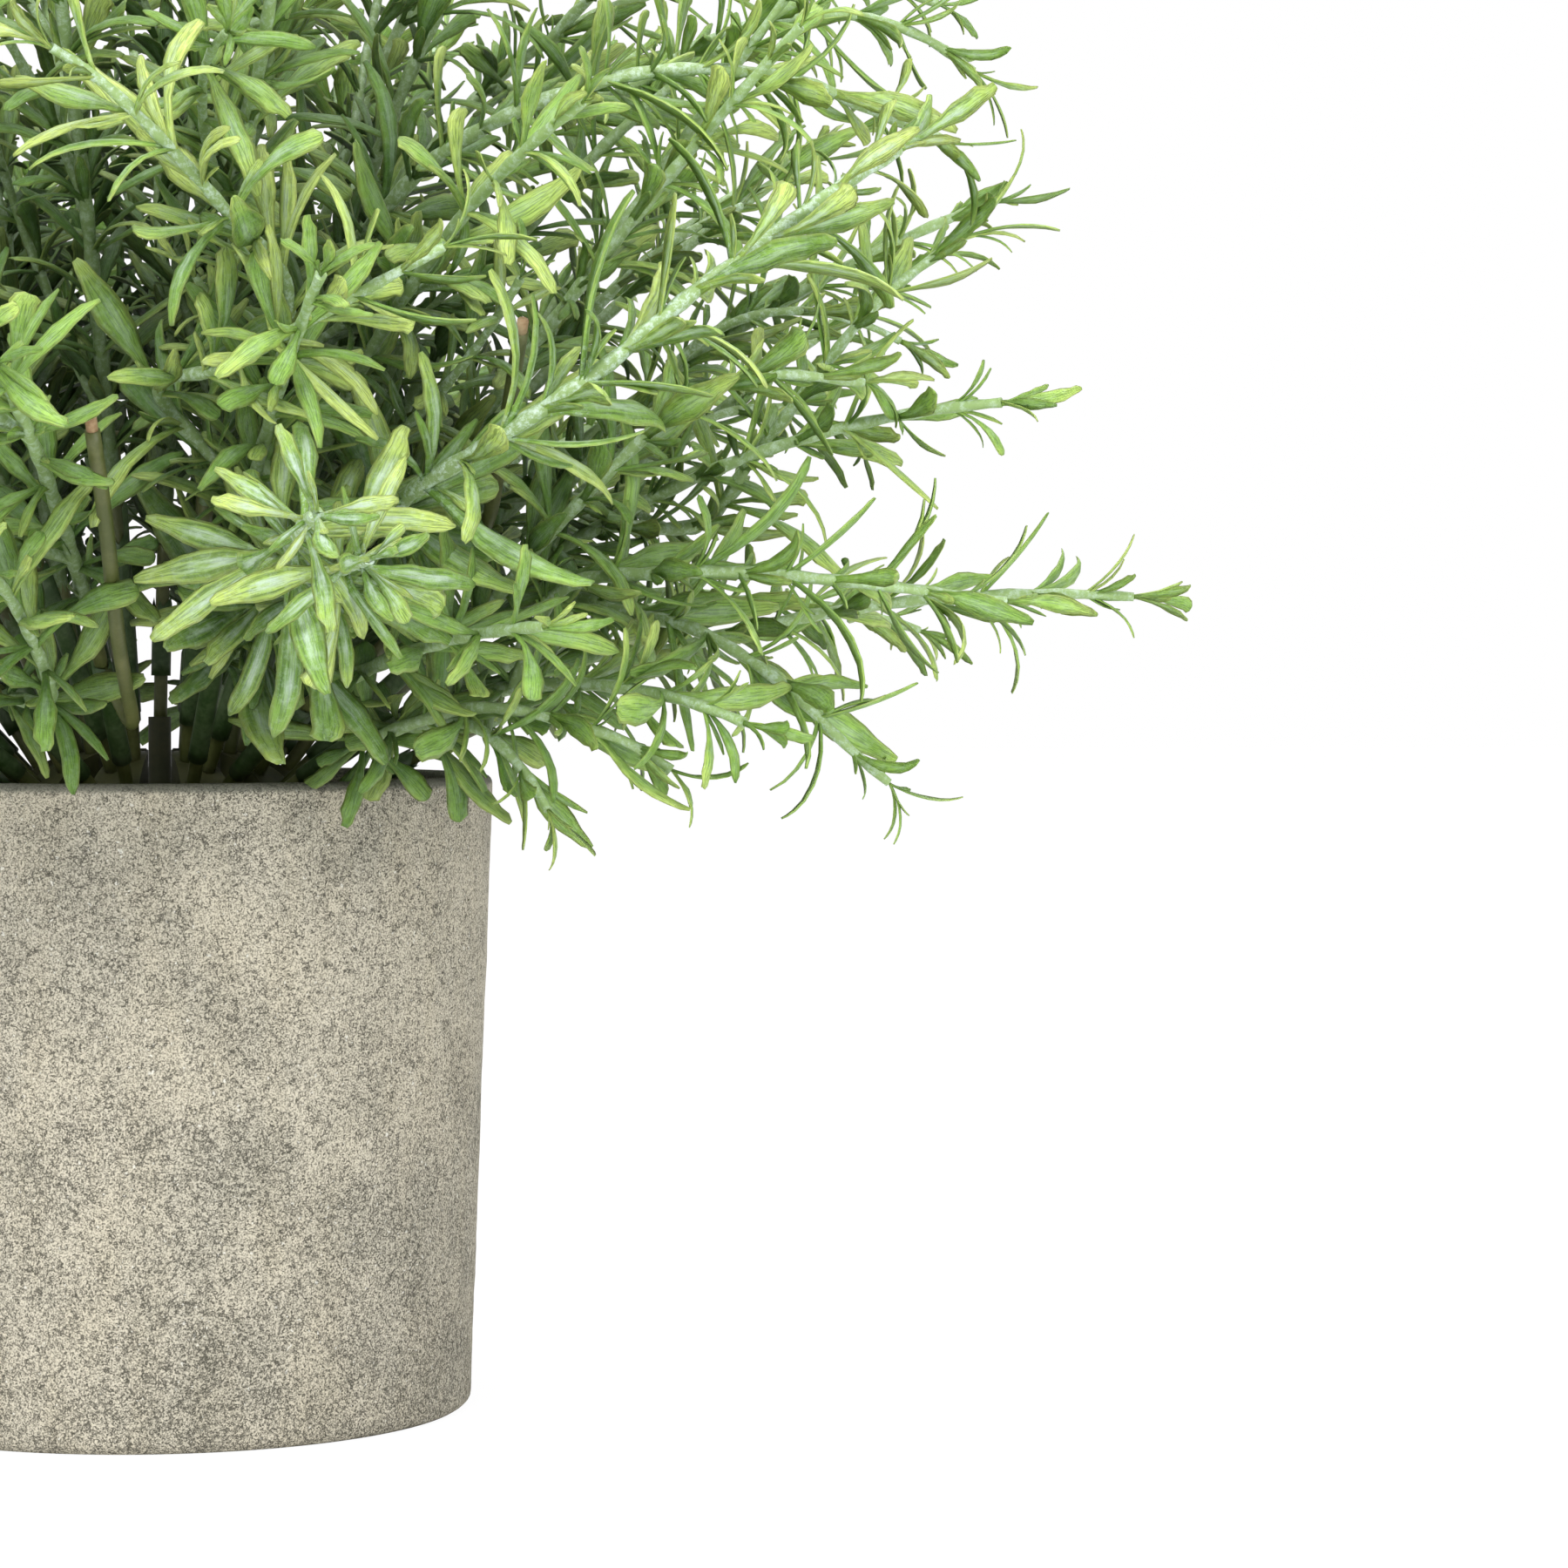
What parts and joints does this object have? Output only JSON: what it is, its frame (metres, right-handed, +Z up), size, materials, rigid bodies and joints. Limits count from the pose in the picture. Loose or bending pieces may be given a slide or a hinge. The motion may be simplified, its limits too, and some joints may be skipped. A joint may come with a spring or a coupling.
{
  "type": "potted artificial rosemary bush",
  "caption": "Artificial rosemary bush with bendable leafy sprays in a round cement-look pot, weighted and free-standing.",
  "frame": {"origin": "centre of the pot's flat underside", "axes": "+Z up along the pot's axis, +X towards the first spray; the front faces -Y"},
  "size_m": [0.3977, 0.3587, 0.4153],
  "materials": {
    "pot": "matte",
    "ballast": "matte",
    "foam": "matte",
    "moss": "matte",
    "trunk": "matte",
    "glue": "satin",
    "stem_coat": "satin",
    "steel_wire": "satin",
    "leaf": "satin"
  },
  "bodies": {
    "pot": {"pot_shell": "pot", "cement_ballast": "ballast", "foam_block": "foam", "moss_layer": "moss", "trunk_crown": "trunk", "trunk_wires": "steel_wire", "glue_ring": "glue"},
    "spray_01": {"spray_01_base": "trunk", "spray_01_stems": "stem_coat", "spray_01_wires": "steel_wire", "spray_01_leaves": "leaf"},
    "spray_02": {"spray_02_base": "trunk", "spray_02_stems": "stem_coat", "spray_02_wires": "steel_wire", "spray_02_leaves": "leaf"},
    "spray_03": {"spray_03_base": "trunk", "spray_03_stems": "stem_coat", "spray_03_wires": "steel_wire", "spray_03_leaves": "leaf"},
    "spray_04": {"spray_04_base": "trunk", "spray_04_stems": "stem_coat", "spray_04_wires": "steel_wire", "spray_04_leaves": "leaf"},
    "spray_05": {"spray_05_base": "trunk", "spray_05_stems": "stem_coat", "spray_05_wires": "steel_wire", "spray_05_leaves": "leaf"},
    "spray_06": {"spray_06_base": "trunk", "spray_06_stems": "stem_coat", "spray_06_wires": "steel_wire", "spray_06_leaves": "leaf"},
    "spray_07": {"spray_07_base": "trunk", "spray_07_stems": "stem_coat", "spray_07_wires": "steel_wire", "spray_07_leaves": "leaf"},
    "spray_08": {"spray_08_base": "trunk", "spray_08_stems": "stem_coat", "spray_08_wires": "steel_wire", "spray_08_leaves": "leaf"},
    "spray_09": {"spray_09_base": "trunk", "spray_09_stems": "stem_coat", "spray_09_wires": "steel_wire", "spray_09_leaves": "leaf"},
    "spray_10": {"spray_10_base": "trunk", "spray_10_stems": "stem_coat", "spray_10_wires": "steel_wire", "spray_10_leaves": "leaf"},
    "leader": {"leader_base": "trunk", "leader_stems": "stem_coat", "leader_wires": "steel_wire", "leader_leaves": "leaf"}
  },
  "joints": [
    {"name": "spray_01_bend", "type": "hinge", "parent": "pot", "child": "spray_01", "pos_m": [0.012, 0, 0.10593], "axis": [0, 1, 0], "range_deg": [-4, 5]},
    {"name": "spray_02_bend", "type": "hinge", "parent": "pot", "child": "spray_02", "pos_m": [0.00971, 0.00705, 0.10593], "axis": [-0.5878, 0.809, 0], "range_deg": [-4, 5]},
    {"name": "spray_03_bend", "type": "hinge", "parent": "pot", "child": "spray_03", "pos_m": [0.00371, 0.01141, 0.10593], "axis": [-0.9511, 0.309, 0], "range_deg": [-4, 5]},
    {"name": "spray_04_bend", "type": "hinge", "parent": "pot", "child": "spray_04", "pos_m": [-0.00371, 0.01141, 0.10593], "axis": [-0.9511, -0.309, 0], "range_deg": [-4, 5]},
    {"name": "spray_05_bend", "type": "hinge", "parent": "pot", "child": "spray_05", "pos_m": [-0.00971, 0.00705, 0.10593], "axis": [-0.5878, -0.809, 0], "range_deg": [-4, 5]},
    {"name": "spray_06_bend", "type": "hinge", "parent": "pot", "child": "spray_06", "pos_m": [-0.012, 0, 0.10593], "axis": [0, -1, 0], "range_deg": [-4, 5]},
    {"name": "spray_07_bend", "type": "hinge", "parent": "pot", "child": "spray_07", "pos_m": [-0.00971, -0.00705, 0.10593], "axis": [0.5878, -0.809, 0], "range_deg": [-4, 5]},
    {"name": "spray_08_bend", "type": "hinge", "parent": "pot", "child": "spray_08", "pos_m": [-0.00371, -0.01141, 0.10593], "axis": [0.9511, -0.309, 0], "range_deg": [-4, 5]},
    {"name": "spray_09_bend", "type": "hinge", "parent": "pot", "child": "spray_09", "pos_m": [0.00371, -0.01141, 0.10593], "axis": [0.9511, 0.309, 0], "range_deg": [-4, 5]},
    {"name": "spray_10_bend", "type": "hinge", "parent": "pot", "child": "spray_10", "pos_m": [0.00971, -0.00705, 0.10593], "axis": [0.5878, 0.809, 0], "range_deg": [-4, 5]},
    {"name": "leader_lean", "type": "hinge", "parent": "pot", "child": "leader", "pos_m": [0, 0, 0.11229], "axis": [0, 1, 0], "range_deg": [-4, 4]}
  ]
}
